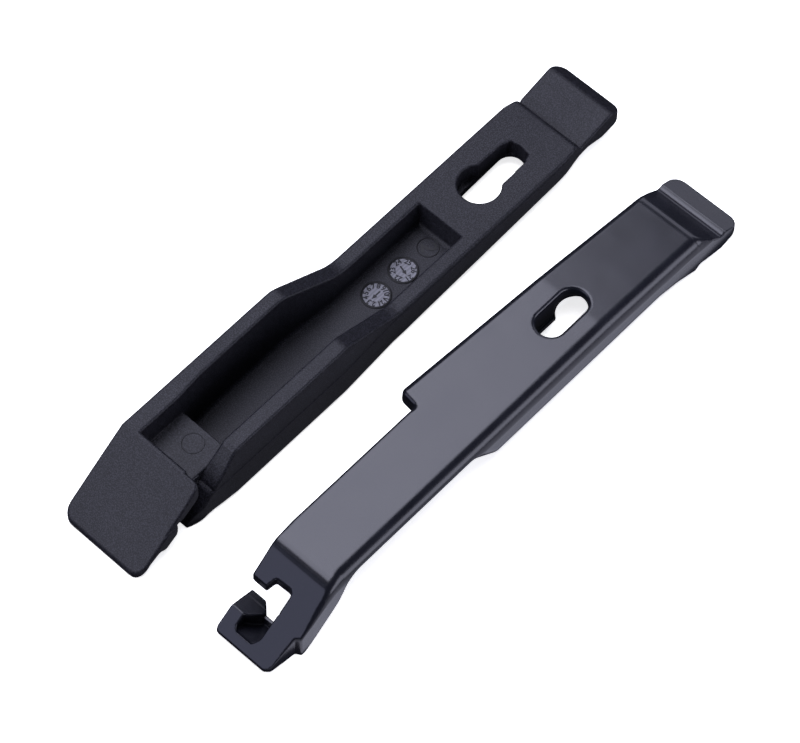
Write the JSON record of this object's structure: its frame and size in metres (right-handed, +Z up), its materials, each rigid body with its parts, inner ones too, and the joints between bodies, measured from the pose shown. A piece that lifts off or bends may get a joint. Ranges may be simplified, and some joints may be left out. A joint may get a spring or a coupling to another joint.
{
  "type": "tyre lever pair",
  "caption": "Moulded black tyre levers lying side by side: a deep lever with an open channel, keyhole and spoon, and a slotted lever with a spoke hook.",
  "frame": {"origin": "on the table, under the middle of the pair's bounding box", "axes": "+X across the levers from the deep lever to the hook lever, +Y along them towards the thin tips, +Z up from the table"},
  "size_m": [0.0568, 0.1482, 0.0153],
  "materials": {
    "textured_nylon": "fine spark-eroded satin",
    "polished_nylon": "semi-gloss"
  },
  "bodies": {
    "deep_lever": {"deep_lever": "textured_nylon"},
    "hook_lever": {"hook_lever": "polished_nylon"}
  },
  "joints": [
    {"name": "lift_off", "type": "slide", "parent": "deep_lever", "child": "hook_lever", "axis": [0, 0, 1], "range_m": [0, 0.12]}
  ]
}
